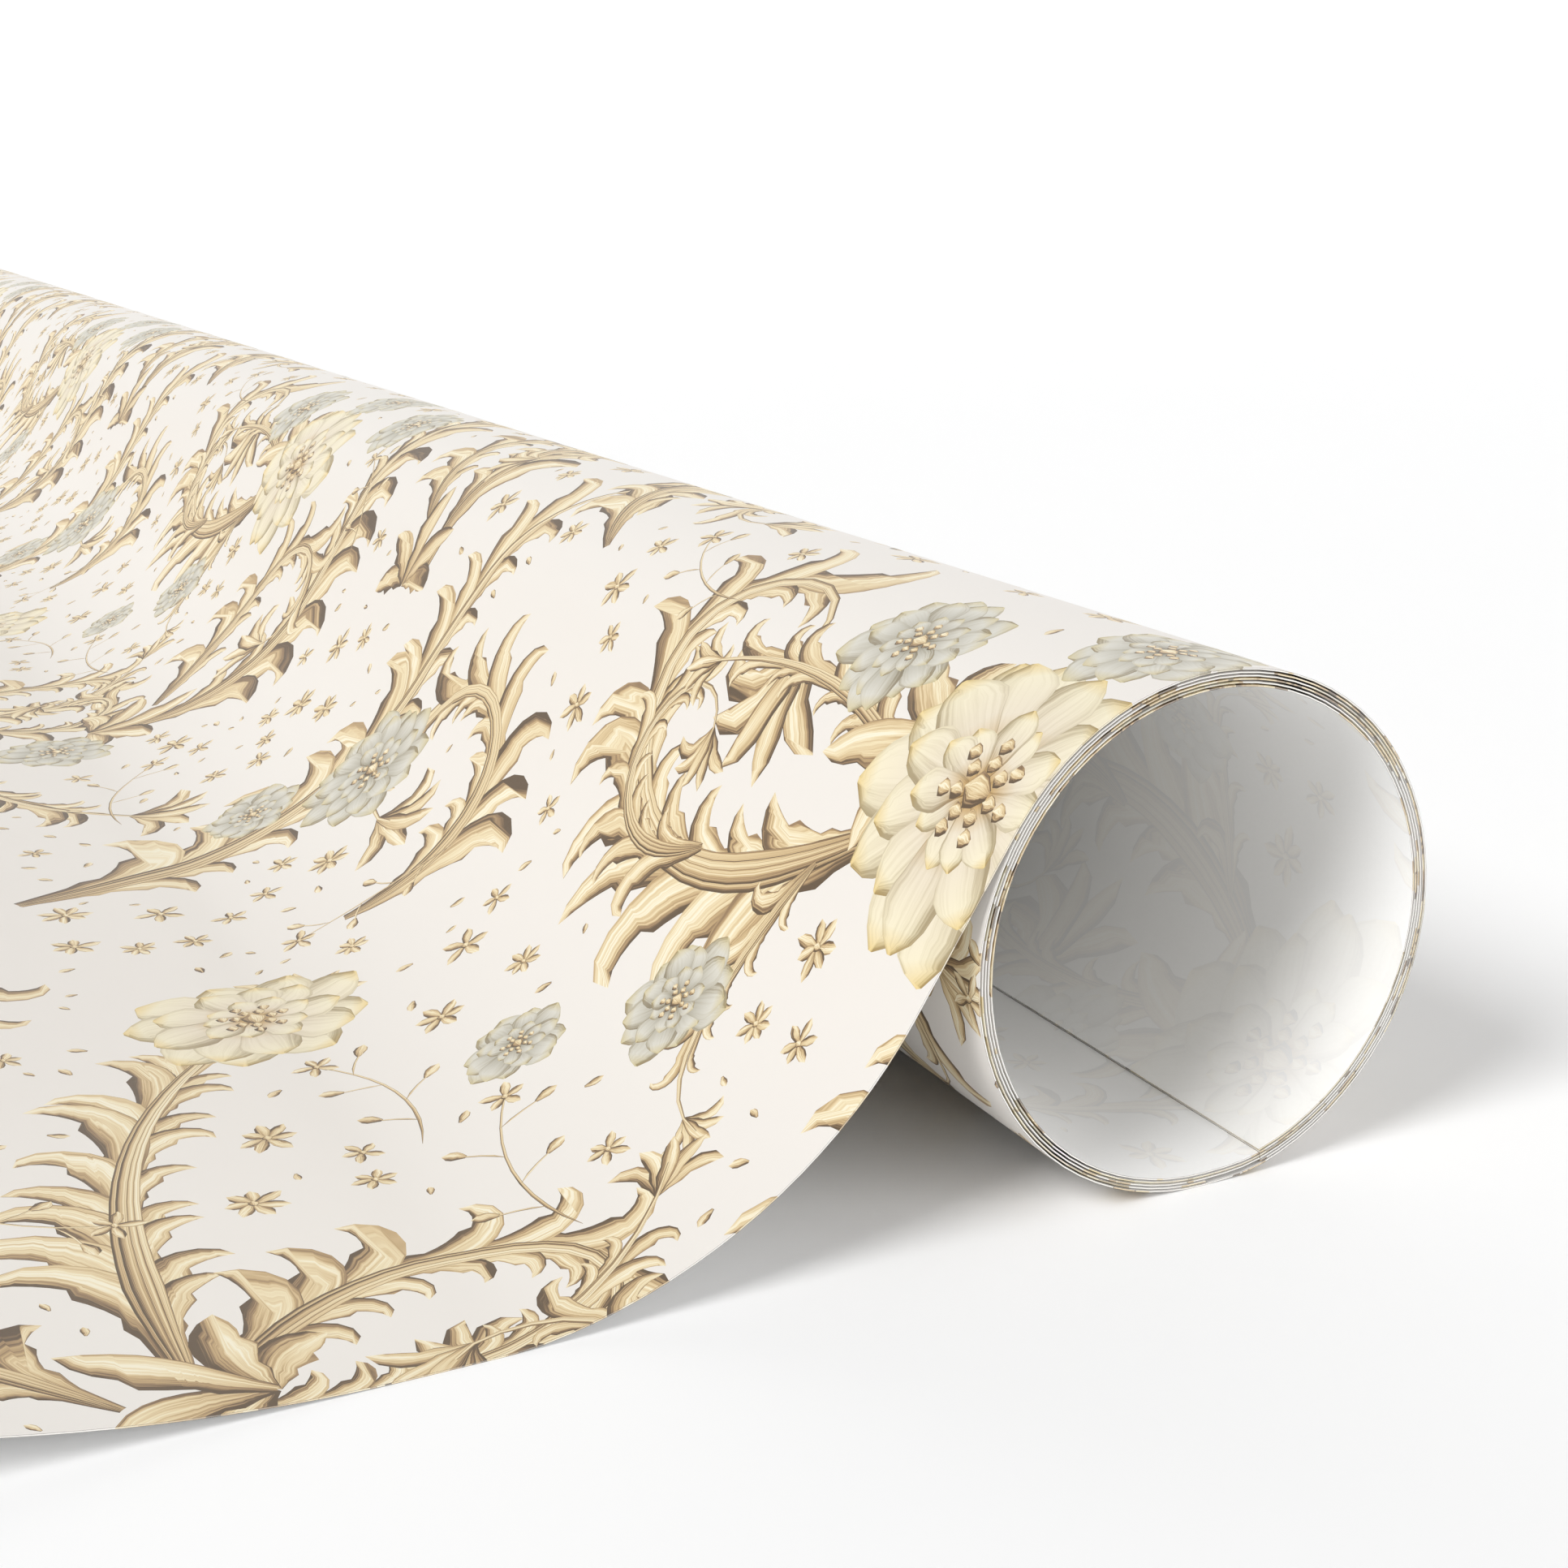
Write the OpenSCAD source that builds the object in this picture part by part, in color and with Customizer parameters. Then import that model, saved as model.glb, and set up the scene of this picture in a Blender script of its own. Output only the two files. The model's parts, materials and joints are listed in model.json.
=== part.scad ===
// Partly unrolled sheet of gift wrap, wound into a coil with no core.
// The roll's axis is X. The free end of the sheet runs off to -Y and +Z is up.
// The origin is on the roll's axis, half way along it.
// One sheet makes the whole object. Its sections are separate nodes, divided where
// one stretch of paper moves against the next.

/* [Sheet] */
// Width of the sheet, which is the length of the roll
sheet_w = 762; // [400:1:1016]
// Thickness of the paper
sheet_t = 0.14; // [0.08:0.01:0.18]

/* [Coil] */
// Inside radius of the innermost turn
bore_r = 20; // [15:0.5:40]
// Air between one turn and the next
layer_gap = 0.12; // [0.1:0.01:0.3]
// Direction of the sheet's inner edge from the axis, in degrees from +Y
seam_angle = -73; // [-88:1:-60]
// Arc beyond the last whole turn at which the sheet leaves the roll
last_arc = 215; // [180:5:230]
// Arc over which each turn climbs over the one below it
step_arc = 15; // [10:5:30]

/* [Way down to the table] */
// Radius at which the sheet eases off the roll
ease_r = 30; // [22:1:60]
// Angle of that easing bend
ease_arc = 6; // [2:1:12]
// Radius of the long backward bend down to the table
fall_r = 42; // [30:1:44]
// Radius of the short bend that lays the sheet on the table
toe_r = 24; // [15:1:30]
// Angle of that short bend
toe_arc = 10; // [5:1:15]

/* [Laid sheet] */
// Length that lies flat on the table
flat_len = 5; // [4.5:0.5:20]
// Radius at which the sheet starts to curl up again
rise_r = 130; // [80:1:300]
// Length of that first curl
rise_len = 36; // [30:1:60]
// Radius of the curl at the free end
tip_r = 200; // [100:1:400]
// Length of the first laid section, from the toe to its hinge line
near_len = 32; // [26:1:45]
// Length of the middle section
mid_len = 35; // [20:1:60]
// Length of the end section
end_len = 36; // [20:1:60]

/* [Divisions] */
// Slot between two sections that move against each other
slot = 0.06; // [0.05:0.01:0.1]

/* [Hidden] */

pitch = sheet_t + layer_gap;
turns = 5;
facet_arc = 5;
facet_len = 2.5;
crease = 0.004;

// Middle of the paper, as a radius, at a winding angle counted from the inner edge
function climb(u) = u <= 360 - step_arc ? 0 : (u - 360 + step_arc) / step_arc;
function smooth(x) = x * x * (3 - 2 * x);
function mid_r(w) = let (k = floor(w / 360)) bore_r + sheet_t / 2 + pitch * (k + smooth(climb(w - 360 * k)));
function ring(r, w) = r * [cos(seam_angle + w), sin(seam_angle + w)];

// Winding angles from a to b: the two ends and every whole facet between them
function stops(a, b, step) =
    concat([a], [for (i = [floor(a / step) + 1 : ceil(b / step) - 1]) i * step], [b]);

// Angle of half a slot, so that two neighbours leave a whole one
slot_arc = slot / 2 / bore_r * 180 / PI;

// Radius just before winding angle w, so that a turn ends on its own climb
function end_r(w) = mid_r(w - slot_arc / 100);

// The sheet leaves the roll here, heading down and to -Y
leave_w = 360 * turns + last_arc;
leave_r = mid_r(leave_w);
leave_at = ring(leave_r, leave_w);
leave_heading = seam_angle + last_arc + 90;

// The roll stands on the lowest corner of its outermost layer
outer_stops = stops(leave_w - 360, leave_w, facet_arc);
table_z = min([for (w = outer_stops) ring(mid_r(w) + sheet_t / 2, w)[1]]);

// Heading 180 is level. What the easing bend adds and the toe takes, the fall turns back
fall_arc = leave_heading + ease_arc - 180 - toe_arc;

function left(a) = [-sin(a), cos(a)];
function drop_of(r, a, b) = abs(r * (cos(a) - cos(b)));
// Height lost in each bend; the straight stretch makes up what is left
ease_end = leave_at + ease_r * (left(leave_heading) - left(leave_heading + ease_arc));
fall_drop = drop_of(fall_r, fall_arc + toe_arc, toe_arc);
toe_drop = drop_of(toe_r, toe_arc, 0);
straight_drop = ease_end[1] - (table_z + sheet_t / 2) - fall_drop - toe_drop;
straight_len = straight_drop / sin(fall_arc + toe_arc);

function arc_len(r, a) = r * a * PI / 180;
// Stages of the path beyond the roll: radius (0 is straight), way it turns, length
stages = [
    [ease_r, 1, arc_len(ease_r, ease_arc)],
    [0, 0, straight_len],
    [fall_r, -1, arc_len(fall_r, fall_arc)],
    [toe_r, -1, arc_len(toe_r, toe_arc)],
    [0, 0, flat_len],
    [rise_r, -1, rise_len],
    [tip_r, -1, near_len + mid_len + end_len]
];

// Place and heading after length s of one stage that starts at p with heading a
function along(p, a, stage, s) =
    stage[0] == 0 ? [p - s * left(a + 90), a]
    : let (turn = stage[1] * s / stage[0] * 180 / PI)
      [p + stage[0] * stage[1] * (left(a) - left(a + turn)), a + turn];

// Place and heading at length s beyond the roll
function path(s, i = 0, p = leave_at, a = leave_heading) =
    s <= stages[i][2] || i == len(stages) - 1 ? along(p, a, stages[i], s)
    : let (e = along(p, a, stages[i], stages[i][2])) path(s - stages[i][2], i + 1, e[0], e[1]);

// The lead ends where the sheet first lies flat
lead_len = stages[0][2] + stages[1][2] + stages[2][2] + stages[3][2];
// The lead is divided a third of the way round its backward bend
drop_len = stages[0][2] + stages[1][2] + stages[2][2] / 3;
near_end = lead_len + near_len;
mid_end = near_end + mid_len;
free_end = mid_end + end_len;

// Runs a Y-Z outline along the whole width of the sheet
module across() {
    rotate([90, 0, 90])
        translate([0, 0, -sheet_w / 2])
            linear_extrude(height = sheet_w)
                children();
}

// Outline of the wound sheet between two winding angles. The inner cut thickens it
// towards the axis, where the bore is then rounded out
module wound_outline(a, b, inner_cut = 0) {
    angles = stops(a, b, facet_arc);
    outside = [for (w = angles) ring((w == b ? end_r(w) : mid_r(w)) + sheet_t / 2, w)];
    inside = [for (w = angles) ring((w == b ? end_r(w) : mid_r(w)) - sheet_t / 2
                                    - (w < 360 - step_arc ? inner_cut : 0), w)];
    polygon(concat(outside, [for (i = [len(inside) - 1 : -1 : 0]) inside[i]]));
}

module wound(a, b) {
    across() wound_outline(a, b);
}

// Sheet beyond the roll between two lengths along it
module laid(s0, s1) {
    points = [for (s = stops(s0, s1, facet_len)) path(s)];
    upper = [for (q = points) q[0] - sheet_t / 2 * left(q[1])];
    lower = [for (i = [len(points) - 1 : -1 : 0]) points[i][0] + sheet_t / 2 * left(points[i][1])];
    across() polygon(concat(upper, lower));
}

// One whole turn inside the coil, numbered from the bore outwards
module inner_turn(k, tail = 0) {
    wound(360 * (k - 1) + slot_arc, 360 * k - slot_arc - tail);
}

// Slice of the round bore, one facet wide, from winding angle w. Paper rounds itself
// facet by facet, so every second slice is a hair deeper and stays a face of its own
module bore_slice(w) {
    hair = w % (2 * facet_arc) == 0 ? 0 : crease;
    intersection() {
        circle(r = bore_r + hair, $fn = 720);
        polygon([[0, 0], ring(2 * bore_r, w), ring(2 * bore_r, w + facet_arc)]);
    }
}

// The innermost turn has a true round bore up to where it climbs over its own edge
module turn_1() {
    color("whitesmoke")
        across()
            difference() {
                wound_outline(slot_arc, 360 - slot_arc, sheet_t);
                for (w = [0 : facet_arc : 360 - step_arc - facet_arc])
                    bore_slice(w);
            }
}

module turn_2() {
    color("whitesmoke") inner_turn(2);
}

module turn_3() {
    color("whitesmoke") inner_turn(3);
}

// This turn stops short of its climb, so that the coil can spin inside turn_5
module turn_4() {
    color("whitesmoke") inner_turn(4, step_arc);
}

module turn_5() {
    color("wheat") wound(360 * (turns - 1), 360 * turns);
}

// The last part turn, up to where the sheet leaves the roll
module outer_turn() {
    color("wheat") wound(360 * turns, leave_w);
}

// The steep part of the way down, from the roll into the backward bend
module lead_drop() {
    color("wheat") laid(0, drop_len);
}

// The rest of the backward bend, down to the table
module lead_toe() {
    color("wheat") laid(drop_len, lead_len - slot / 2);
}

module laid_near() {
    color("burlywood") laid(lead_len + slot / 2, near_end - slot / 2);
}

module laid_mid() {
    color("burlywood") laid(near_end + slot / 2, mid_end - slot / 2);
}

module laid_end() {
    color("burlywood") laid(mid_end + slot / 2, free_end);
}

turn_1();
turn_2();
turn_3();
turn_4();
turn_5();
outer_turn();
lead_drop();
lead_toe();
laid_near();
laid_mid();
laid_end();
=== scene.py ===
# %% [markdown]
# # A roll of gift wrap, partly unrolled
#
# The object is one sheet of printed paper. It is wound into a hollow coil, and its free end
# leaves the coil, falls to the table in an S and curls up again.
#
# The paper is drawn flat first, as a printer would see it. A Geometry Nodes tree then winds
# it along the path that the sheet follows. Drawing flat keeps the print true, because paper
# bends but never stretches.

# %% Load the frame
import json
import math
import random
import bpy
import numpy as np
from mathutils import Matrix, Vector
from mathutils.geometry import delaunay_2d_cdt


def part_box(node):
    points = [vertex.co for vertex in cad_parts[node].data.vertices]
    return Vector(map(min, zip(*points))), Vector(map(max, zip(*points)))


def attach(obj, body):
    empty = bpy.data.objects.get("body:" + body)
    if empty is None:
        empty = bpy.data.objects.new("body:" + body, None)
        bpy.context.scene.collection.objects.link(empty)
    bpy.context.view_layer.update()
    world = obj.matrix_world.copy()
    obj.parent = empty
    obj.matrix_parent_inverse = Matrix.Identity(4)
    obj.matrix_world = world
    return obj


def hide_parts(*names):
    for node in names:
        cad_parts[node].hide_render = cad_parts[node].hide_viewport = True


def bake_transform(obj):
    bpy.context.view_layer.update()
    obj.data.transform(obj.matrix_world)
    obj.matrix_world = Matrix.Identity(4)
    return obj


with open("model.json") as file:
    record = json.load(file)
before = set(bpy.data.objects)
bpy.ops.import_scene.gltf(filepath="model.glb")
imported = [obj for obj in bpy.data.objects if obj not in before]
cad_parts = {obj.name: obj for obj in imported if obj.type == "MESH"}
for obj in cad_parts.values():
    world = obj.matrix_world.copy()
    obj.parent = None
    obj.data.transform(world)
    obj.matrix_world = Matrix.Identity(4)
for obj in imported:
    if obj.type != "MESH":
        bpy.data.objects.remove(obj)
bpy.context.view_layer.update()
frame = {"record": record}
MM = 0.001

# %% [markdown]
# ## Sizes
#
# The frame gives what it can: the width of the sheet, the bore and the level of the table.
# The rest are the sizes that the paper was wound with, in millimetres. The path is worked
# out from them, so that it lies in the middle of the paper, just as in the CAD model.

# %% Sizes of the sheet and the coil
FAR_CORNER, NEAR_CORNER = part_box("turn_5")
NEAR_X = NEAR_CORNER.x / MM
SHEET_W = (NEAR_CORNER.x - FAR_CORNER.x) / MM
BORE_R = frame["record"]["mounts"][0]["dims"]["r_mm"]
PAPER = 0.14
LAYER_GAP = 0.12
SEAM_ANGLE = -73
WHOLE_TURNS = 5
LAST_ARC = 215
STEP_ARC = 15
TABLE_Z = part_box("laid_near")[0].z / MM

PITCH = PAPER + LAYER_GAP
LEAVE_W = 360 * WHOLE_TURNS + LAST_ARC


def mid_r(w):
    """Radius of the middle of the paper at winding angle w, in degrees from the inner edge."""
    turn, u = divmod(w, 360)
    climb = max(0.0, (u - 360 + STEP_ARC) / STEP_ARC)
    return BORE_R + PAPER / 2 + PITCH * (turn + climb * climb * (3 - 2 * climb))


def on_coil(w):
    """Point (y, z) on the wound sheet."""
    a = math.radians(SEAM_ANGLE + w)
    return mid_r(w) * math.cos(a), mid_r(w) * math.sin(a)


print("coil:", WHOLE_TURNS, "whole turns, outer radius", round(mid_r(LEAVE_W) + PAPER / 2, 2), "mm")

# %% [markdown]
# ## The path of the sheet
#
# Beyond the coil the sheet goes through seven stages: it eases off the roll, drops straight,
# bends back, lays its toe on the table, lies flat, and then rises in two gentle curls. Each
# stage is an arc or a straight line that starts where the last one stopped, so the path has
# no kinks. The straight drop takes whatever height the bends leave over.

# %% Stages of the path
EASE_R, EASE_ARC = 30, 6
FALL_R = 42
TOE_R, TOE_ARC = 24, 10
FLAT_LEN = 5
RISE_R, RISE_LEN = 130, 36
TIP_R = 200
NEAR_LEN, MID_LEN, END_LEN = 32, 35, 36

leave_heading = SEAM_ANGLE + LAST_ARC + 90
fall_arc = leave_heading + EASE_ARC - 180 - TOE_ARC


def drop_of(r, a, b):
    """Height lost on an arc of radius r between two slopes, in degrees from level."""
    return abs(r * (math.cos(math.radians(a)) - math.cos(math.radians(b))))


steep = leave_heading + EASE_ARC - 180
straight_drop = (on_coil(LEAVE_W)[1] - drop_of(EASE_R, steep, steep - EASE_ARC)
                 - (TABLE_Z + PAPER / 2) - drop_of(FALL_R, steep, TOE_ARC) - drop_of(TOE_R, TOE_ARC, 0))
STAGES = [
    (EASE_R, 1, EASE_R * math.radians(EASE_ARC)),
    (0, 0, straight_drop / math.sin(math.radians(steep))),
    (FALL_R, -1, FALL_R * math.radians(fall_arc)),
    (TOE_R, -1, TOE_R * math.radians(TOE_ARC)),
    (0, 0, FLAT_LEN),
    (RISE_R, -1, RISE_LEN),
    (TIP_R, -1, NEAR_LEN + MID_LEN + END_LEN),
]
LEAD_LEN = sum(length for r, way, length in STAGES[:4])
FREE_EDGE = LEAD_LEN + NEAR_LEN + MID_LEN + END_LEN
print("lead", round(LEAD_LEN, 2), "mm, free edge at", round(FREE_EDGE, 2), "mm beyond the roll")

# %% [markdown]
# The whole path becomes one row of points, less than half a millimetre apart. `along` holds
# each point's length, counted from where the sheet leaves the roll: it is negative in the
# coil. The last curl runs on a little past the free edge, so that the edge has a slope too.

# %% Trace the whole path
STEP = 0.4
PAST_EDGE = 1
wound_angles = np.arange(0, LEAVE_W + 0.5, 1.0)
points = [on_coil(w) for w in wound_angles]
heading = math.radians(leave_heading)
y, z = points[-1]
for r, way, length in STAGES:
    if r == TIP_R:
        length = FREE_EDGE + PAST_EDGE - sum(stage[2] for stage in STAGES[:-1])
    n = max(1, round(length / STEP))
    bend = way * length / r / n if r else 0.0
    for i in range(n):
        y += length / n * math.cos(heading + bend / 2)
        z += length / n * math.sin(heading + bend / 2)
        heading += bend
        points.append((y, z))
path = np.array(points)
along = np.concatenate([[0], np.cumsum(np.hypot(*np.diff(path, axis=0).T))])
WOUND_LEN = along[len(wound_angles) - 1]
along -= WOUND_LEN
slopes = np.gradient(path, along, axis=0)
slopes /= np.hypot(*slopes.T)[:, None]
print("wound", round(WOUND_LEN, 1), "mm, whole sheet", round(WOUND_LEN + FREE_EDGE, 1), "mm")


def length_at(w):
    """Length along the sheet at winding angle w; 0 is where the sheet leaves the roll."""
    return float(np.interp(w, wound_angles, along[:len(wound_angles)]))


def outward(s):
    """Unit normals (y, z) of the printed side at lengths s."""
    ty, tz = (np.interp(s, along, slopes[:, i]) for i in (0, 1))
    return np.stack([tz, -ty], 1) / np.hypot(ty, tz)[:, None]


curve = bpy.data.curves.new("sheet_path", "CURVE")
curve.dimensions = "3D"
spline = curve.splines.new("POLY")
spline.points.add(len(path) - 1)
spline.points.foreach_set("co", np.c_[np.zeros(len(path)), path * MM, np.ones(len(path))].ravel())
path_object = bpy.data.objects.new("sheet_path", curve)
bpy.context.scene.collection.objects.link(path_object)

# %% [markdown]
# ## The print: one stroke for everything
#
# The pattern is old-fashioned leaf scrollwork: fronds that peel into lobes, round flowers,
# small blossoms and loose buds. A printer's block would hold thousands of shapes, but they
# are all one thing: a brush stroke with a middle line and a width on either side. Strokes
# are laid down in order, and a later one covers an earlier one.

# %% Strokes and curls
REPEAT_ACROSS, REPEAT_ALONG = 206, 240
GOLD, RIDGE, SILVER, CREAM, FINE, HEART = range(1, 7)
dice = random.Random(11)
THINNEST = 0.02
strokes = []


def curl(start, heading, length, turn, tighten=1.0, steps=12):
    """Middle line that starts at a heading in degrees and turns by `turn` in all.

    A tighten above 1 saves most of the turning for the far end.
    """
    share = (np.arange(steps) + 0.5) / steps
    a = np.radians(heading + turn * share ** tighten)
    legs = length / steps * np.c_[np.cos(a), np.sin(a)]
    return np.array(start, float) + np.r_[[(0, 0)], np.cumsum(legs, axis=0)]


def sideways(line):
    """Unit vectors to the left of a middle line, at each of its points."""
    d = np.gradient(line, axis=0)
    d /= np.hypot(*d.T)[:, None]
    return np.c_[-d[:, 1], d[:, 0]]


def paint(line, left, right, ink):
    """Adds one stroke; left and right are its half widths, kept inside its own bends."""
    d = np.gradient(line, axis=0)
    bend = np.gradient(np.unwrap(np.arctan2(d[:, 1], d[:, 0]))) / np.hypot(*d.T)
    room = 0.8 / np.maximum(np.abs(bend), 1e-6)
    left = np.where(bend > 0, np.minimum(left, room), left)
    right = np.where(bend < 0, np.minimum(right, room), right)
    tone = dice.random()
    strokes.append((line, np.maximum(left, THINNEST), np.maximum(right, THINNEST), ink, tone))


def leaf(line, half, ink, teeth=0, out=1):
    """A pointed lobe, widest past its middle. Its outer side may be cut into leaning teeth."""
    u = np.linspace(0, 1, len(line))
    body = half * (0.3 * (1 - u) + np.sin(np.pi * u ** 1.35) ** 0.85)
    body[-1] = THINNEST
    ragged = body * (1.12 - 0.5 * (1 - (u * teeth) % 1.0)) if teeth else body
    left, right = (ragged, body) if out > 0 else (body, ragged)
    paint(line, left, right, ink)


def petal(line, half, ink):
    """A broad petal, widest past its middle, with ruffled sides."""
    u = np.linspace(0, 1, len(line))
    body = half * (0.1 + np.sin(np.pi * u ** 1.7) ** 0.8)
    body[-1] = 0.08 * half
    ruffle = 0.07 * np.sin(15 * u)
    paint(line, body * (1 + ruffle), body * (1 - ruffle), ink)


def stem(line, half, ink, tip):
    """A plain stalk that thins from near its root to a share `tip` of its width."""
    u = np.linspace(0, 1, len(line))
    body = half * np.minimum(1, 0.1 + 5 * u) * (1 - (1 - tip) * u)
    paint(line, body, body, ink)


print("inks:", HEART, "kinds, one repeat is", REPEAT_ACROSS, "by", REPEAT_ALONG, "mm")

# %% [markdown]
# ## Fronds and scrolls
#
# A frond is a spine with lobes that leave it at a low angle and curl away, as the leaves of
# acanthus do in carved and engraved ornament. The lobes are laid from the tip back to the
# root, so the nearer one always covers the foot of the next. A scroll is the same thing on
# a spine that rolls up.

# %% Frond
LOBE_REACH, LOBE_HALF = 0.25, 0.135
TIP_FAN = (-62, 58, -28, 26, 0)
CALYX_FAN = (-74, 70, -38, 36, 0)
SPINE_LANES = (-1.5, 1.5, -0.5, 0.5)


def direction(line, k):
    """Heading of a middle line at its point k, in degrees."""
    way = line[k + 1] - line[k]
    return math.degrees(math.atan2(way[1], way[0]))


def peel(spine, k, run, side, size, sweep):
    """A lobe that runs beside the spine for a few steps and then curls away from it."""
    k0 = max(0, k - run)
    out = sideways(spine) * side
    beside = spine[k0:k] + out[k0:k] * np.linspace(0.15, 0.5, k - k0)[:, None]
    away = curl(spine[k] + out[k] * 0.6, direction(spine, k) + side * 7, size, side * sweep, 2.2, 10)
    leaf(np.r_[beside, away], LOBE_HALF * size, GOLD, 3, side)


def frond(start, heading, length, turn, tighten, lobes):
    """A whole frond: the fan at its tip, pairs of lobes, and four lanes of spine over them."""
    steps = max(12, int(length / 3.6), int(abs(turn) / 12))
    spine = curl(start, heading, length, turn, tighten, steps)
    outer = -1 if turn > 0 else 1
    tip_heading = direction(spine, steps - 1)
    for spread in TIP_FAN:
        line = curl(spine[-2], tip_heading + spread * 0.5, 0.15 * length,
                    spread * 1.6 + turn * 0.15, 1.8, 6)
        leaf(line, 0.02 * length, GOLD, 2, 1 if spread >= 0 else -1)
    for i in reversed(range(lobes)):
        t = 0.1 + 0.8 * i / lobes
        k = int(t * steps)
        size = length * LOBE_REACH * (1.05 - 0.5 * t) * dice.uniform(0.85, 1.15)
        peel(spine, k, 3, -outer, 0.62 * size, dice.uniform(90, 150))
        peel(spine, k, 4, outer, size, dice.uniform(100, 165))
    offset = sideways(spine)
    u = np.linspace(0, 1, len(spine))[:, None]
    fade = np.minimum(1, 0.2 + 4 * u) * (1 - u)
    for lane in SPINE_LANES:
        stem(spine + offset * fade * lane * 0.011 * length, 0.0085 * length, RIDGE, 0.3)


def calyx(centre, heading, size):
    """A small fan of leaves that covers the roots of two fronds."""
    for spread in CALYX_FAN:
        line = curl(centre, heading + spread, size * (1.1 - abs(spread) / 150), spread * 0.9, 1.6, 9)
        leaf(line, 0.15 * size, GOLD, 3, 1 if spread >= 0 else -1)


print("a frond ends in a fan of", len(TIP_FAN), "lobes and a calyx has", len(CALYX_FAN))


# %% [markdown]
# ## Flowers, blossoms and sprigs
#
# A flower has three rings of petals, the small ones on top, and a heart of dots. The
# blossoms, buds and sprigs between the scrolls are a few millimetres long, so a handful of
# points is enough for each.

# %% Flowers
RINGS = (1.0, 0.86, 0.5)
HEART_DOTS = 14


def dot(centre, size):
    """A round speck of the heart's ink."""
    leaf(curl(np.array(centre) - (size, 0), 0, 2 * size, 0, 1, 3), size * 0.95, HEART)


def flower(centre, radius, petals, ink):
    """Rings of petals, each turned by half a petal, and a heart of dots in two circles."""
    turn = dice.uniform(0, 360)
    for ring, share in enumerate(RINGS):
        for i in range(petals):
            a = turn + 360 * (i + 0.5 * ring) / petals + dice.uniform(-7, 7)
            r = radius * share * dice.uniform(0.86, 1.12)
            petal(curl(centre, a - 6, r, 12, 1, 11), r * 2.5 / petals, ink)
    for i in range(HEART_DOTS):
        a = math.radians(turn + 51 * i)
        r = 0.27 if i % 2 else 0.16
        dot(np.array(centre) + radius * r * np.array((math.cos(a), math.sin(a))), 0.055 * radius)
    dot(centre, radius * 0.11)


def blossom(centre, radius, petals):
    """A small star of pointed petals around one dot."""
    turn = dice.uniform(0, 360)
    for i in range(petals):
        a = turn + 360 * i / petals + dice.uniform(-8, 8)
        leaf(curl(centre, a, radius * dice.uniform(0.8, 1.1), 12, 1, 4), radius * 0.2, FINE)
    dot(centre, radius * 0.16)


def sprig(start, heading, length, turn):
    """A thin stalk with a bud on every twig and a blossom at its end."""
    line = curl(start, heading, length, turn, 1, 10)
    stem(line, 0.2, FINE, 0.5)
    for k in range(2, 10, 2):
        a = direction(line, k)
        side = 1 if k % 4 else -1
        twig = curl(line[k], a + side * 42, length * 0.16, side * 25, 1, 3)
        stem(twig, 0.14, FINE, 0.7)
        leaf(curl(twig[-1], a + side * 50, 2.3, side * 20, 1, 4), 0.62, FINE)
    blossom(line[-1], 2.4, 5)


print("a flower has", len(RINGS), "rings of petals and", HEART_DOTS + 1, "dots in its heart")

# %% [markdown]
# ## Laying out one repeat
#
# The pattern repeats every 206 mm across the sheet and every 240 mm along it. Each scroll
# is given by where it starts, its first heading, its length and how far it turns. Heading 0
# points away from the near edge and 90 points towards the free edge.

# %% Scrolls of one repeat
FRONDS = [
    # start, heading, length, turn, tighten, lobes
    ((14, 6), 34, 96, -310, 2.0, 11),
    ((40, 16), 24, 44, -290, 1.7, 7),
    ((18, 2), -24, 40, 46, 1.0, 6),
    ((22, 12), 66, 30, 120, 1.6, 5),
    ((112, 74), -66, 96, -60, 1.2, 11),
    ((86, 44), -96, 70, 300, 1.8, 9),
    ((94, -6), -40, 60, -290, 1.8, 8),
    ((60, -24), -50, 54, 280, 1.8, 7),
    ((138, 6), -84, 84, 66, 1.3, 10),
    ((146, 0), -44, 54, -290, 1.8, 8),
    ((186, 50), -116, 90, 60, 1.2, 10),
    ((190, 44), -50, 66, -300, 1.8, 8),
    ((172, -36), -140, 44, -270, 1.7, 6),
    ((4, 77), 4, 74, -60, 1.6, 10),
    ((3, 76), -40, 56, -280, 1.9, 8),
    ((0, 78), -100, 44, 60, 1.2, 7),
    ((-3, 77), 176, 70, 66, 1.6, 10),
    ((-2, 76), -140, 52, 280, 1.9, 8),
    ((2, 82), 48, 50, 130, 2.0, 7),
    ((62, 106), 16, 70, -300, 1.8, 9),
    ((60, 108), 96, 60, 70, 1.3, 8),
    ((134, 118), -24, 66, 290, 1.8, 8),
    ((128, 116), -160, 50, -270, 1.8, 7),
    ((24, 150), -60, 56, -290, 1.8, 8),
    ((20, 152), 30, 74, 50, 1.3, 9),
    ((176, 136), 70, 78, -60, 1.3, 9),
    ((120, 162), -20, 56, 290, 1.8, 8),
    ((84, 196), -130, 56, 290, 1.8, 8),
    ((178, 98), -170, 46, 280, 1.8, 7),
]
for start, heading, length, turn, tighten, lobes in FRONDS:
    frond(start, heading, length, turn, tighten, lobes)
CALYXES = [((2, 72), 60, 14), ((14, -2), 20, 15), ((188, 54), -96, 15), ((143, 9), -76, 14),
           ((59, 102), 50, 15), ((135, 119), 160, 14), ((20, 146), -10, 14)]
for centre, heading, size in CALYXES:
    calyx(centre, heading, size)
print("scrolls:", len(FRONDS), "with", len(strokes), "strokes")

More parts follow.
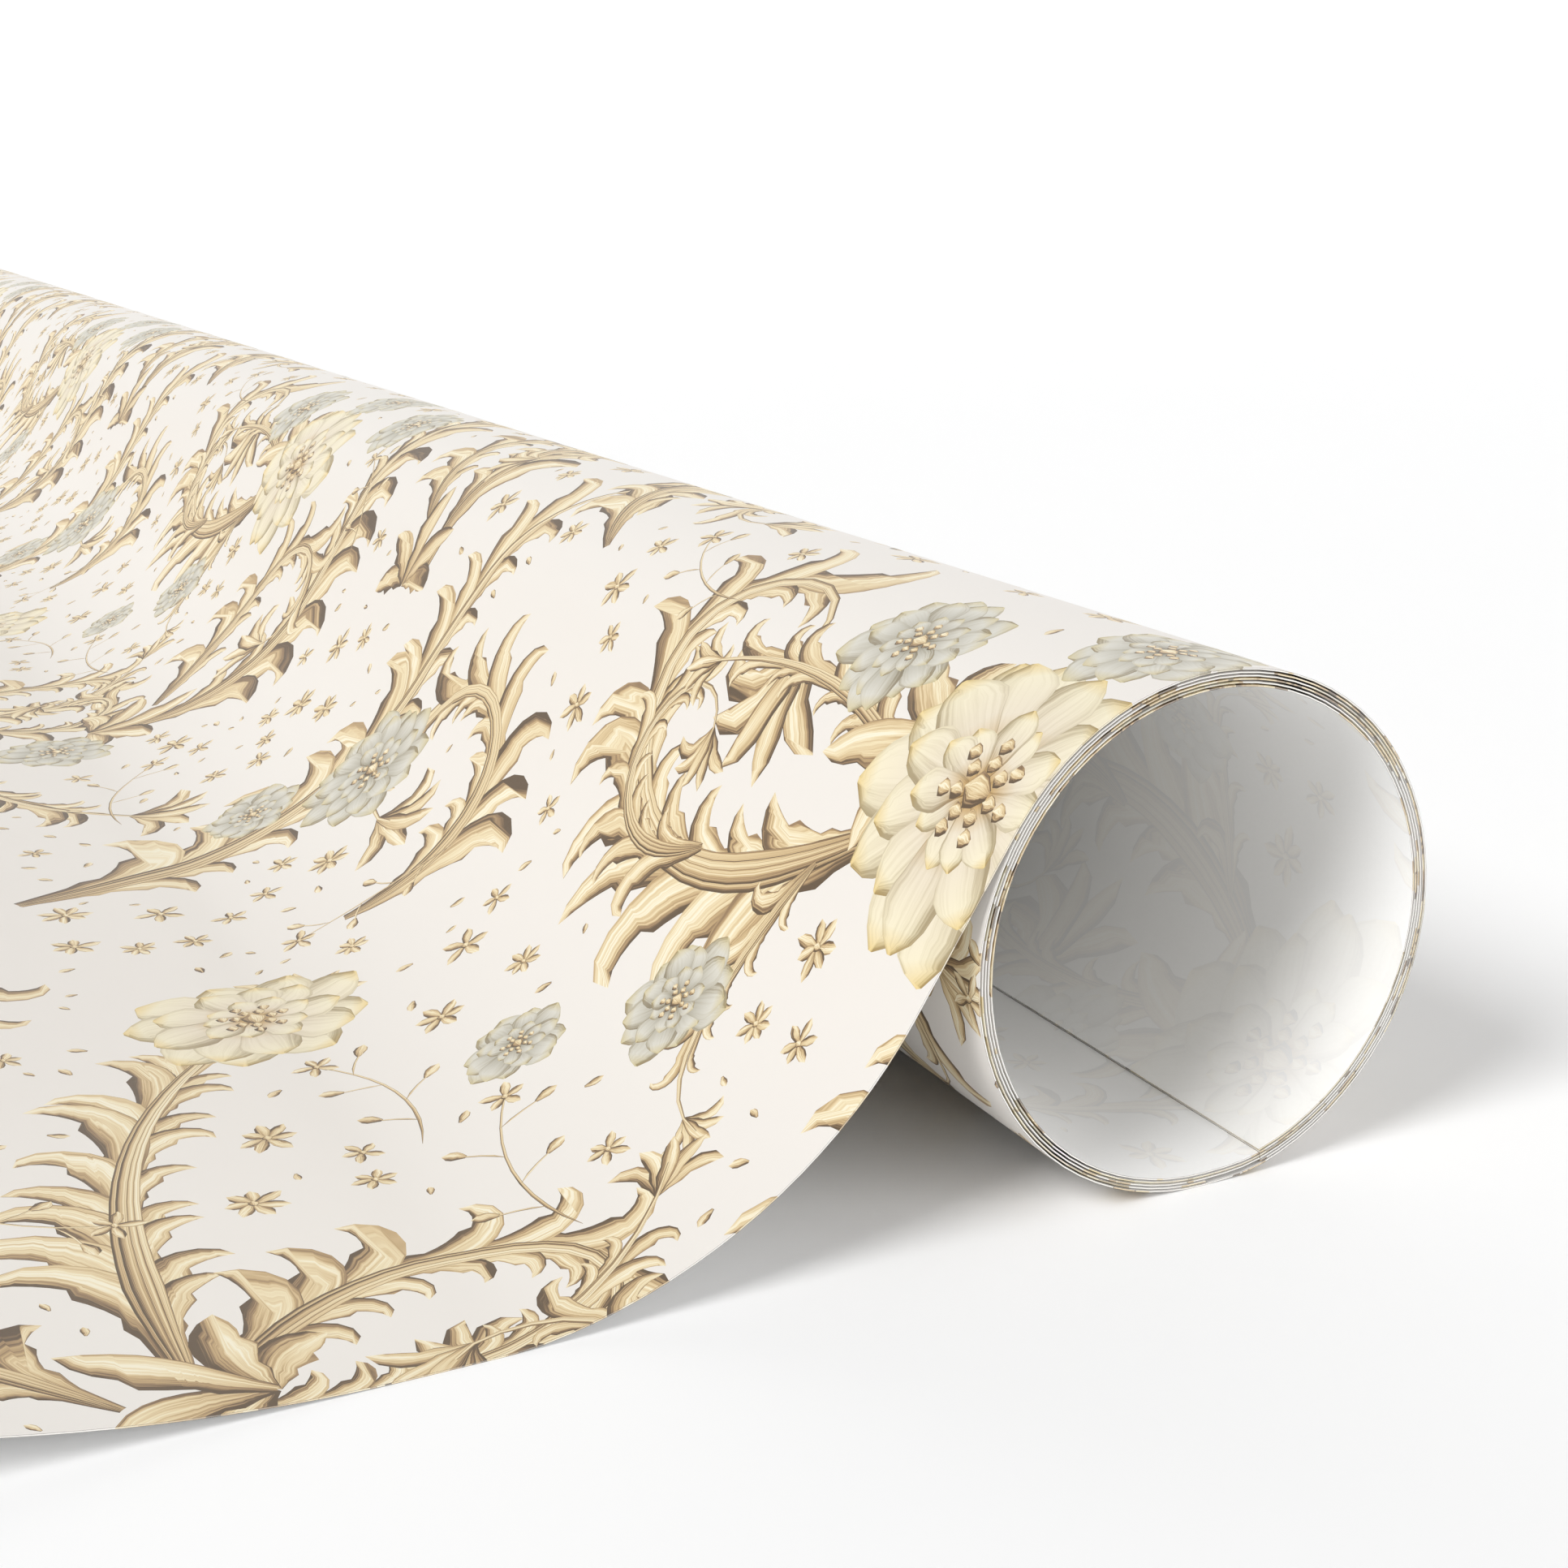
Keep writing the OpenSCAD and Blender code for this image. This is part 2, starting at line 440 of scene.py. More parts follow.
# %% Flowers of one repeat
FLOWERS = [
    ((7, 1), 15, 11, CREAM), ((29, -9), 8.5, 11, SILVER), ((7, -19), 8, 10, SILVER),
    ((29, 28), 6.5, 9, SILVER), ((42, 40), 5.5, 9, SILVER), ((116, 30), 10, 11, SILVER),
    ((128, 44), 6.5, 9, SILVER), ((69, 58), 11, 9, CREAM), ((180, 60), 8, 10, SILVER),
    ((188, -14), 8, 10, SILVER), ((96, 100), 9, 11, SILVER), ((152, 84), 7, 9, SILVER),
    ((44, 130), 8, 10, CREAM), ((150, 150), 12, 11, CREAM), ((98, 176), 8, 10, SILVER),
    ((58, 178), 7, 9, SILVER), ((6, 182), 9, 11, SILVER),
]
for centre, radius, petals, ink in FLOWERS:
    flower(centre, radius, petals, ink)
SPRIGS = [
    ((34, 52), -20, 22, 60), ((12, 46), 20, 24, -50), ((84, 30), 60, 20, 50),
    ((60, -6), 10, 20, -60), ((100, -28), -120, 22, 60), ((140, 58), 10, 26, -60),
    ((168, 10), -70, 22, 50), ((20, -34), 200, 22, 60), ((40, 96), -150, 22, 60),
    ((112, 90), 120, 20, -60), ((190, 110), 60, 22, -50), ((76, 150), 20, 24, 60),
    ((132, 186), -40, 22, 70), ((36, 176), 160, 20, 60), ((158, 116), 10, 20, 60),
    ((196, 170), 120, 22, 40),
]
for start, heading, length, turn in SPRIGS:
    sprig(start, heading, length, turn)
print("flowers:", len(FLOWERS), "and sprigs:", len(SPRIGS), "now", len(strokes), "strokes")

# %% [markdown]
# Blossoms and buds fill what is left. Each is tried at random, and stays only where it has
# room around it, which is how a designer scatters fillers by eye.

# %% Fillers
FILLERS = ((2.9, 420), (2.2, 700), (1.0, 1500), (0.7, 900))  # size in mm, tries
BUD_SIZE = 1.5  # anything smaller is a bud
REPEAT = np.array((REPEAT_ACROSS, REPEAT_ALONG))
middles = np.concatenate([s[0] for s in strokes])
reaches = np.concatenate([np.maximum(s[1], s[2]) for s in strokes])


def room_at(spot):
    """Distance from a spot to the nearest ink, with the repeat taken into account."""
    gap = np.abs(middles - spot)
    gap = np.minimum(gap % REPEAT, -gap % REPEAT)
    return (np.hypot(*gap.T) - reaches).min()


fillers = 0
for size, tries in FILLERS:
    for attempt in range(tries):
        spot = np.array((dice.uniform(0, REPEAT_ACROSS), dice.uniform(0, REPEAT_ALONG)))
        if room_at(spot) < size * (1.4 if size > BUD_SIZE else 2.6):
            continue
        if size > BUD_SIZE:
            blossom(spot, size, dice.choice((5, 6, 6, 7)))
        else:
            leaf(curl(spot, dice.uniform(0, 360), 1.9 * size, 20, 1, 4), size * 0.45, FINE)
        middles = np.r_[middles, [spot]]
        reaches = np.r_[reaches, size]
        fillers += 1
print("print:", len(strokes), "strokes,", fillers, "fillers")

# %% [markdown]
# ## From strokes to a flat sheet
#
# The paper is cut into triangles along every stroke, so that each triangle belongs to one
# stroke or to bare paper. Rows across the sheet are added wherever the paper will bend. A
# triangle remembers which ink it carries, and each of its corners remembers where it lies on
# the stroke: how far along, how far from the middle line, and a tone of the stroke's own.
# The finish reads these three numbers later, and shades every lobe from them.

# %% Cutting the sheet along the ink
POINTED = 0.1
STRAY = 1.2  # a place further across than this is not on its stroke


def outline(stroke):
    """Closed outline of a stroke; its far end is one point where the stroke is pointed."""
    line, left, right = stroke[:3]
    n = sideways(line)
    a = line + n * left[:, None]
    b = line - n * right[:, None]
    if left[-1] + right[-1] < POINTED:
        return np.r_[b[:-1], [line[-1]], a[:-1][::-1]]
    return np.r_[b, a[::-1]]


OUTLINES = [outline(s) for s in strokes]
LOWEST = np.array([o.min(0) for o in OUTLINES])
HIGHEST = np.array([o.max(0) for o in OUTLINES])


def strokes_on(s0, s1, bands):
    """(stroke number, shift) of every repeat that shows between two lengths and in some band."""
    found = []
    for i in range(-1, int(SHEET_W // REPEAT_ACROSS) + 2):
        for j in range(math.floor(s0 / REPEAT_ALONG) - 1, math.ceil(s1 / REPEAT_ALONG) + 1):
            shift = REPEAT * (i, j)
            low, high = LOWEST + shift, HIGHEST + shift
            seen = (high[:, 1] > s0) & (low[:, 1] < s1)
            in_band = np.zeros(len(strokes), bool)
            for b0, b1 in bands:
                in_band |= (high[:, 0] > b0) & (low[:, 0] < b1)
            found += [(k, shift) for k in np.flatnonzero(seen & in_band)]
    return sorted(found, key=lambda f: f[0])


def place_on_stroke(stroke, p):
    """Share of the way along a stroke, and -1 to 1 across it, at each of the points p."""
    line, left, right = stroke[:3]
    a, d = line[:-1], np.diff(line, axis=0)
    t = np.clip(((p[:, None] - a) * d).sum(2) / (d * d).sum(1), 0, 1)
    off = p[:, None] - (a + t[..., None] * d)
    near = np.argmin((off ** 2).sum(2), axis=1)
    rows = np.arange(len(p))
    off, d, share = off[rows, near], d[near], near + t[rows, near]
    across = (d[:, 0] * off[:, 1] - d[:, 1] * off[:, 0]) / np.hypot(*d.T)
    steps = np.arange(len(line))
    half = np.where(across > 0, np.interp(share, steps, left), np.interp(share, steps, right))
    return share / (len(line) - 1), across / np.maximum(half, 0.05)


def cut_sheet(rows, bands):
    """Triangles of the inked sheet: points, faces, ink of each face, place of each corner."""
    count = len(rows)
    points = [Vector(p) for p in [(0, s) for s in rows] + [(SHEET_W, s) for s in rows[::-1]]]
    edges = [(i, 2 * count - 1 - i) for i in range(count)]
    faces = [list(range(2 * count))[::-1]]
    laid = strokes_on(rows[0], rows[-1], bands)
    for k, shift in laid:
        first = len(points)
        points += [Vector(p) for p in OUTLINES[k] + shift]
        faces.append(list(range(first, len(points))))
    flat, _, triangles, _, _, sources = delaunay_2d_cdt(points, edges, faces, 0, 1e-6, True)
    keep = [i for i, source in enumerate(sources) if 0 in source]
    triangles = np.array([triangles[i] for i in keep])
    flat = np.array([tuple(p) for p in flat])
    corners = flat[triangles]
    candidates = [sorted(sources[i], reverse=True) for i in keep]
    ink = np.zeros(len(keep), np.int32)
    place = np.zeros((len(keep), 3, 3), np.float32)
    waiting = np.arange(len(keep))
    while len(waiting):
        top = np.array([candidates[i].pop(0) for i in waiting])
        waiting = waiting[top > 0]
        top = top[top > 0]
        order = np.argsort(top, kind="stable")
        waiting, top = waiting[order], top[order]
        left_over = []
        for group in np.split(np.arange(len(top)), np.flatnonzero(np.diff(top)) + 1):
            if not len(group):
                continue
            k, shift = laid[top[group[0]] - 1]
            own = waiting[group]
            local = corners[own] - shift
            u, v = place_on_stroke(strokes[k], local.mean(1))
            good = np.abs(v) < STRAY
            left_over.append(own[~good])
            own, local = own[good], local[good]
            if len(own):
                u, v = place_on_stroke(strokes[k], local.reshape(-1, 2))
                ink[own] = strokes[k][3]
                place[own] = np.stack([u, v, np.full(len(u), strokes[k][4])], 1).reshape(-1, 3, 3)
        waiting = np.concatenate(left_over) if left_over else waiting[:0]
    return flat, triangles, ink, place


print("outlines:", len(OUTLINES), "with", sum(len(o) for o in OUTLINES), "points")

# %% [markdown]
# ## Two faces and a cut edge
#
# Real wrapping paper is printed on one side. The flat sheet gets its other side here, and
# its cut edges in between, so each stretch of paper is a closed solid. Outside, inside and
# edge are marked 0, 1 and 2. The height of a point is only which side it is on: the winding
# step gives the paper its real thickness.

# %% Closing the flat sheet
PRINTED, PLAIN, EDGE = range(3)


def plain_back(flat, rim, rows):
    """Triangles of an unprinted back inside a given rim, bent at the same rows as the front."""
    following = dict(rim.tolist())
    loop = [rim[0, 0]]
    while following[loop[-1]] != loop[0]:
        loop.append(following[loop[-1]])
    ring = flat[loop]
    rungs = []
    for s in rows[1:-1]:
        ends = [np.argmin(np.abs(ring[:, 0] - x) * 99 + np.abs(ring[:, 1] - s)) for x in (0, SHEET_W)]
        rungs.append(tuple(int(n) for n in ends))
    around = [list(range(len(loop)))]
    points, _, triangles, sources = delaunay_2d_cdt([Vector(p) for p in ring], rungs, around, 0, 1e-7,
                                                    True)[:4]
    assert len(points) == len(loop)
    source = [group[0] for group in sources]
    return np.array([[loop[source[i]] for i in t] for t in triangles])[:, ::-1]


def flat_sheet(name, rows, bands, both):
    """A closed flat stretch between its first and last row, inked within bands across it.

    The back carries the print as well if it is to show through there.
    """
    flat, front, ink, place = cut_sheet(rows, bands)
    count = len(flat)
    directed = np.concatenate([front[:, [i, (i + 1) % 3]] for i in range(3)])
    keys = directed[:, 0] * count + directed[:, 1]
    lonely = ~np.isin(keys, directed[:, 1] * count + directed[:, 0])
    rim = directed[lonely]
    rim_face = (np.arange(3 * len(front)) % len(front))[lonely]
    if both:
        back, back_ink, back_place = front[:, ::-1], ink, place[:, ::-1]
    else:
        back = plain_back(flat, rim, rows)
        back_ink = np.zeros(len(back), np.int32)
        back_place = np.zeros((len(back), 3, 3), np.float32)
    sides = np.c_[rim[:, 1], rim[:, 0], rim[:, 0] + count, rim[:, 1] + count]
    mesh = bpy.data.meshes.new(name + "_flat")
    points = np.r_[np.c_[NEAR_X - flat[:, 0], flat[:, 1], np.full(count, 0.5)],
                   np.c_[NEAR_X - flat[:, 0], flat[:, 1], np.full(count, -0.5)]]
    used = np.unique(np.r_[front.ravel(), back.ravel() + count])
    renumber = np.zeros(2 * count, int)
    renumber[used] = np.arange(len(used))
    faces = renumber[front].tolist() + renumber[back + count].tolist() + renumber[sides].tolist()
    scaled = points[used] * (MM, MM, 1)
    mesh.from_pydata(scaled.tolist(), [], faces)
    mesh.attributes.new("flat", "FLOAT_VECTOR", "POINT").data.foreach_set("vector", scaled.ravel())
    side = np.repeat((PRINTED, PLAIN, EDGE), (len(front), len(back), len(sides)))
    mesh.attributes.new("side", "INT", "FACE").data.foreach_set("value", side.astype(np.int32))
    inks = np.r_[ink, back_ink, ink[rim_face]]
    mesh.attributes.new("ink", "INT", "FACE").data.foreach_set("value", inks.astype(np.int32))
    edge_place = place[rim_face].mean(1)[:, None].repeat(4, 1)
    corner = np.r_[place.reshape(-1, 3), back_place.reshape(-1, 3), edge_place.reshape(-1, 3)]
    mesh.attributes.new("stroke", "FLOAT_VECTOR", "CORNER").data.foreach_set("vector", corner.ravel())
    return mesh


print("faces of the sheet: printed", PRINTED, "plain", PLAIN, "cut edge", EDGE)

# %% [markdown]
# ## Winding with Geometry Nodes
#
# The tree takes a flat stretch of sheet and lays it along the path. A point's length along
# the sheet picks a place on the path, its side of the paper moves it half a thickness
# outwards or inwards, and its place across the sheet stays. It is the same rule for the
# coil, the drop to the table and the curling end, so one tree makes them all.

# %% The winding tree
def new_node(tree, kind, **settings):
    """Adds a node to a tree and gives it its settings."""
    node = tree.nodes.new(kind)
    for key, value in settings.items():
        setattr(node, key, value)
    return node


def winding_tree(printed, plain, edge):
    """The Geometry Nodes tree that winds a flat stretch and gives it its three finishes."""
    tree = bpy.data.node_groups.new("wind_the_sheet", "GeometryNodeTree")
    face = tree.interface
    face.new_socket("Geometry", in_out="INPUT", socket_type="NodeSocketGeometry")
    face.new_socket("Path", in_out="INPUT", socket_type="NodeSocketObject")
    face.new_socket("Wound length", in_out="INPUT", socket_type="NodeSocketFloat")
    face.new_socket("Paper thickness", in_out="INPUT", socket_type="NodeSocketFloat")
    face.new_socket("Geometry", in_out="OUTPUT", socket_type="NodeSocketGeometry")
    link = tree.links.new
    given = new_node(tree, "NodeGroupInput")
    made = new_node(tree, "NodeGroupOutput")
    split = new_node(tree, "ShaderNodeSeparateXYZ")
    link(new_node(tree, "GeometryNodeInputPosition").outputs[0], split.inputs[0])
    path_info = new_node(tree, "GeometryNodeObjectInfo", transform_space="RELATIVE")
    link(given.outputs["Path"], path_info.inputs["Object"])
    length = new_node(tree, "ShaderNodeMath", operation="ADD")
    link(split.outputs["Y"], length.inputs[0])
    link(given.outputs["Wound length"], length.inputs[1])
    sample = new_node(tree, "GeometryNodeSampleCurve", mode="LENGTH")
    link(path_info.outputs["Geometry"], sample.inputs["Curves"])
    link(length.outputs[0], sample.inputs["Length"])
    outwards = new_node(tree, "ShaderNodeVectorMath", operation="CROSS_PRODUCT")
    link(sample.outputs["Tangent"], outwards.inputs[0])
    outwards.inputs[1].default_value = (1, 0, 0)
    lift = new_node(tree, "ShaderNodeMath", operation="MULTIPLY")
    link(split.outputs["Z"], lift.inputs[0])
    link(given.outputs["Paper thickness"], lift.inputs[1])
    shift = new_node(tree, "ShaderNodeVectorMath", operation="SCALE")
    link(outwards.outputs[0], shift.inputs[0])
    link(lift.outputs[0], shift.inputs["Scale"])
    across = new_node(tree, "ShaderNodeCombineXYZ")
    link(split.outputs["X"], across.inputs["X"])
    on_path = new_node(tree, "ShaderNodeVectorMath", operation="ADD")
    link(sample.outputs["Position"], on_path.inputs[0])
    link(shift.outputs[0], on_path.inputs[1])
    placed = new_node(tree, "ShaderNodeVectorMath", operation="ADD")
    link(on_path.outputs[0], placed.inputs[0])
    link(across.outputs[0], placed.inputs[1])
    wind = new_node(tree, "GeometryNodeSetPosition")
    link(given.outputs["Geometry"], wind.inputs["Geometry"])
    link(placed.outputs[0], wind.inputs["Position"])
    real = new_node(tree, "GeometryNodeRealizeInstances")
    link(wind.outputs[0], real.inputs[0])
    sheet = real.outputs[0]
    side = new_node(tree, "GeometryNodeInputNamedAttribute", data_type="INT")
    side.inputs["Name"].default_value = "side"
    for number, finish in enumerate((printed, plain, edge)):
        this_side = new_node(tree, "FunctionNodeCompare", data_type="INT", operation="EQUAL")
        link(side.outputs["Attribute"], this_side.inputs[2])
        this_side.inputs[3].default_value = number
        paint_it = new_node(tree, "GeometryNodeSetMaterial")
        paint_it.inputs["Material"].default_value = finish
        link(sheet, paint_it.inputs["Geometry"])
        link(this_side.outputs[0], paint_it.inputs["Selection"])
        sheet = paint_it.outputs[0]
    link(sheet, made.inputs[0])
    return tree


# %% [markdown]
# ## Finishes
#
# Satin gift wrap is an off-white paper with ink that sinks in, so the ink changes the colour
# and barely the gloss. The inks imitate engraved gold leaf: each lobe has a bright ridge,
# fine streaks along it and a dark edge. Node math makes all of that from the numbers which
# the cutting step left on every corner.

# %% Helpers for node math
def math_node(tree, operation, *values):
    """Result of one sum; each value is a number or the output of another node."""
    node = new_node(tree, "ShaderNodeMath", operation=operation)
    for socket, value in zip(node.inputs, values):
        if isinstance(value, bpy.types.NodeSocket):
            tree.links.new(value, socket)
        else:
            socket.default_value = value
    return node.outputs[0]


def ramp(tree, value, *stops):
    """Colour ramp from (position, red, green, blue) stops, colours as seen on screen."""
    node = new_node(tree, "ShaderNodeValToRGB")
    cells = node.color_ramp.elements
    while len(cells) < len(stops):
        cells.new(1.0)
    for cell, (position, *colour) in zip(cells, stops):
        cell.position = position
        cell.color = [(c / 255) ** 2.2 for c in colour] + [1]
    tree.links.new(value, node.inputs["Fac"])
    return node.outputs["Color"]


def blend_colours(tree, share, a, b, way="MIX"):
    """Colour a with a share of colour b laid over it."""
    node = new_node(tree, "ShaderNodeMix", data_type="RGBA", blend_type=way)
    for socket, value in ((node.inputs[0], share), (node.inputs[6], a), (node.inputs[7], b)):
        if isinstance(value, bpy.types.NodeSocket):
            tree.links.new(value, socket)
        else:
            socket.default_value = value
    return node.outputs[2]


def noise(tree, vector, scale, detail=2.0, rough=0.5):
    """Cloudy noise from 0 to 1."""
    node = new_node(tree, "ShaderNodeTexNoise")
    node.inputs["Scale"].default_value = scale
    node.inputs["Detail"].default_value = detail
    node.inputs["Roughness"].default_value = rough
    tree.links.new(vector, node.inputs["Vector"])
    return node.outputs["Fac"]


def attribute(tree, name):
    """A value that the mesh carries."""
    return new_node(tree, "ShaderNodeAttribute", attribute_name=name)


# %% [markdown]
# ### The inks
#
# One number, 0 for deep shade to 1 for full light, drives a colour ramp for each ink. It is
# built from the ridge (a cosine across the stroke), the darker foot of the stroke, streaks
# (noise stretched along the stroke) and a dark line at the very edge.

# %% Ink colours
# Each stop is a position from 0 to 1 and a colour in red, green and blue up to 255.
PAPER_STOPS = ((0.0, 230, 225, 219), (1.0, 234, 230, 224))
GOLD_STOPS = ((0.0, 98, 82, 64), (0.2, 146, 120, 90), (0.42, 190, 162, 120),
              (0.62, 218, 195, 152), (0.85, 234, 219, 182), (1.0, 242, 234, 210))
SILVER_PETAL = ((0.0, 190, 158, 100), (0.18, 140, 134, 118), (0.45, 184, 180, 167),
                (0.8, 213, 210, 199), (1.0, 208, 195, 152))
CREAM_PETAL = ((0.0, 158, 120, 72), (0.22, 200, 169, 120), (0.52, 229, 218, 197),
               (0.85, 237, 228, 200), (1.0, 230, 206, 144))
PETAL_SHADE = ((0.0, 182, 172, 154), (0.3, 216, 210, 198), (0.6, 243, 241, 236), (1.0, 255, 255, 255))
RIDGE_GAIN, STREAK_GAIN, FOOT_GAIN, RIM_GAIN, TONE_GAIN = 0.38, 1.7, -0.42, -0.42, 0.16
MID_LIGHT = 0.5


def ink_colour(tree):
    """Colour of the printed side, and how much ink there is, 0 or 1."""
    stroke = new_node(tree, "ShaderNodeSeparateXYZ")
    tree.links.new(attribute(tree, "stroke").outputs["Vector"], stroke.inputs[0])
    along_it, across_it, tone = stroke.outputs
    ink = attribute(tree, "ink").outputs["Fac"]
    edge = math_node(tree, "ABSOLUTE", across_it)
    ridge = math_node(tree, "COSINE", math_node(tree, "MULTIPLY_ADD", across_it, 1.9, 0.8))
    streak_place = new_node(tree, "ShaderNodeCombineXYZ")
    tree.links.new(math_node(tree, "MULTIPLY", along_it, 0.7), streak_place.inputs[0])
    tree.links.new(math_node(tree, "MULTIPLY", across_it, 4.5), streak_place.inputs[1])
    tree.links.new(math_node(tree, "MULTIPLY", tone, 40.0), streak_place.inputs[2])
    streaks = noise(tree, streak_place.outputs[0], 1.6, 4.0, 0.65)
    foot = math_node(tree, "POWER", math_node(tree, "SUBTRACT", 1.0, along_it), 3.0)
    rim = math_node(tree, "POWER", math_node(tree, "MINIMUM", edge, 1.0), 4.0)
    light = math_node(tree, "MULTIPLY_ADD", ridge, RIDGE_GAIN, MID_LIGHT)
    for effect, gain in ((math_node(tree, "SUBTRACT", streaks, 0.5), STREAK_GAIN), (foot, FOOT_GAIN),
                         (rim, RIM_GAIN), (math_node(tree, "SUBTRACT", tone, 0.5), TONE_GAIN)):
        light = math_node(tree, "MULTIPLY_ADD", effect, gain, light)
    flat = attribute(tree, "flat").outputs["Vector"]
    colour = ramp(tree, noise(tree, flat, 9.0), *PAPER_STOPS)
    shade = ramp(tree, math_node(tree, "ADD", light, 0.12), *PETAL_SHADE)
    gold = ramp(tree, light, *GOLD_STOPS)
    silver, cream = (blend_colours(tree, 1.0, ramp(tree, along_it, *stops), shade, "MULTIPLY")
                     for stops in (SILVER_PETAL, CREAM_PETAL))
    for finish, members in ((gold, (GOLD, RIDGE, FINE, HEART)), (silver, (SILVER,)), (cream, (CREAM,))):
        shares = [math_node(tree, "COMPARE", ink, float(member), 0.4) for member in members]
        here = shares[0]
        for share in shares[1:]:
            here = math_node(tree, "ADD", here, share)
        colour = blend_colours(tree, here, colour, finish)
    inked = math_node(tree, "GREATER_THAN", ink, 0.5)
    return colour, inked


def paper(name):
    """A new paper finish: the material, its node tree, its shader and its fibres."""
    material = bpy.data.materials.new(name)
    material.use_nodes = True
    tree = material.node_tree
    shader = tree.nodes["Principled BSDF"]
    flat = attribute(tree, "flat").outputs["Vector"]
    bump = new_node(tree, "ShaderNodeBump")
    bump.inputs["Strength"].default_value = 0.12
    bump.inputs["Distance"].default_value = 0.00003
    fibres = noise(tree, flat, 2600.0, 4.0, 0.6)
    tree.links.new(fibres, bump.inputs["Height"])
    tree.links.new(bump.outputs["Normal"], shader.inputs["Normal"])
    shader.inputs["Specular IOR Level"].default_value = 0.35
    return material, tree, shader, fibres


# %% Printed side
printed, tree, shader, fibres = paper("printed_side")
colour, inked = ink_colour(tree)
tree.links.new(colour, shader.inputs["Base Color"])
sheen = math_node(tree, "MULTIPLY_ADD", fibres, 0.16, 0.44)
tree.links.new(math_node(tree, "MULTIPLY_ADD", inked, -0.08, sheen), shader.inputs["Roughness"])

# %% [markdown]
# ### The plain side and the cut edge
#
# The back is unprinted. Thin paper lets a ghost of the print through, so the same colour is
# mixed in very weakly. The cut edge shows bare fibre, stained where ink was cut through, and
# it is painted grey along both of its rims: painted shade that stands for the dark gaps
# between the wound layers, with a little bruising by the knife as well.

# %% Plain side and cut edge
plain, tree, shader, fibres = paper("plain_side")
colour, inked = ink_colour(tree)
bare = ramp(tree, fibres, (0.0, 246, 246, 245), (1.0, 251, 251, 250))
tree.links.new(blend_colours(tree, 0.13, bare, colour), shader.inputs["Base Color"])
tree.links.new(math_node(tree, "MULTIPLY_ADD", fibres, 0.2, 0.5), shader.inputs["Roughness"])
edge, tree, shader, fibres = paper("cut_edge")
colour, inked = ink_colour(tree)
bare = ramp(tree, fibres, (0.0, 226, 223, 217), (1.0, 244, 242, 238))
stained = blend_colours(tree, math_node(tree, "MULTIPLY", inked, 0.75), bare, colour)
side = new_node(tree, "ShaderNodeSeparateXYZ")
tree.links.new(attribute(tree, "flat").outputs["Vector"], side.inputs[0])
from_middle = math_node(tree, "ABSOLUTE", side.outputs[2])
# painted shade: the cut edge darkens towards both faces to draw the dark gaps between wound layers,
# partly knife bruising
rim_shade_and_burr = ramp(tree, from_middle, (0.0, 255, 255, 255), (0.26, 250, 250, 249), (0.46, 92, 88, 82))
tree.links.new(blend_colours(tree, 1.0, stained, rim_shade_and_burr, "MULTIPLY"), shader.inputs["Base Color"])
tree.links.new(math_node(tree, "MULTIPLY_ADD", fibres, 0.2, 0.6), shader.inputs["Roughness"])
wind = winding_tree(printed, plain, edge)
print("finishes:", [m.name for m in (printed, plain, edge)])

# %% [markdown]
# ## Pieces
#
# The sheet is one length of paper, but it moves: the roll turns, the laid part slides and
# the end curls. So it is cut into stretches at places that stay stiff, and the stretches of
# the coil are attached to the bodies that turn them. Their cut edges meet exactly.

# %% Making a piece
ROW = 2.0
PAST = 20  # bands reach this far past the sheet's own edges


def inked_ends(near, far):
    """Bands of the sheet that are inked: so many millimetres from its near and its far edge."""
    return ((-PAST, near), (SHEET_W - far, SHEET_W + PAST))


EVERYWHERE = ((-PAST, SHEET_W + PAST),)
END_BANDS = inked_ends(26, 26)
INNER_BANDS = inked_ends(220, 40)


def wound_rows(w0, w1, facet=5):
    """Lengths at which a wound stretch bends: its ends and every whole facet between."""
    inner = np.arange(math.floor(w0 / facet) + 1, math.ceil(w1 / facet)) * facet
    return [length_at(w0)] + [length_at(w) for w in inner] + [length_at(w1)]


def laid_rows(s0, s1):
    """Lengths at which a stretch beyond the roll bends, evenly spaced."""
    return list(np.linspace(s0, s1, max(2, math.ceil((s1 - s0) / ROW)) + 1))


def make_piece(name, rows, bands, replaced, both=False):
    """Winds one stretch of sheet and turns it into a plain mesh with its own normals."""
    flat = flat_sheet(name, rows, bands, both)
    blank = bpy.data.objects.new(name + "_blank", flat)
    bpy.context.scene.collection.objects.link(blank)
    modifier = blank.modifiers.new("wind", "NODES")
    modifier.node_group = wind
    inputs = {i.name: i.identifier for i in wind.interface.items_tree if i.in_out == "INPUT"}
    modifier[inputs["Path"]] = path_object
    modifier[inputs["Wound length"]] = WOUND_LEN * MM
    modifier[inputs["Paper thickness"]] = PAPER * MM
    view = bpy.context.evaluated_depsgraph_get()
    mesh = bpy.data.meshes.new_from_object(blank.evaluated_get(view), preserve_all_data_layers=True,
                                           depsgraph=view)
    bpy.data.objects.remove(blank)
    mesh.name = name
    drop_empty_slot(mesh)
    smooth_normals(mesh)
    piece = bpy.data.objects.new(name, mesh)
    bpy.context.scene.collection.objects.link(piece)
    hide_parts(*replaced)
    triangles = sum(len(p.vertices) - 2 for p in mesh.polygons)
    print(f"{name}: {rows[0]:.1f} to {rows[-1]:.1f} mm, {triangles} triangles")
    return piece


def drop_empty_slot(mesh):
    """The tree adds its finishes after an empty first slot, which no face uses."""
    index = np.zeros(len(mesh.polygons), np.int32)
    mesh.polygons.foreach_get("material_index", index)
    finishes = [m for m in mesh.materials if m]
    index -= len(mesh.materials) - len(finishes)
    mesh.materials.clear()
    for finish in finishes:
        mesh.materials.append(finish)
    mesh.polygons.foreach_set("material_index", index)


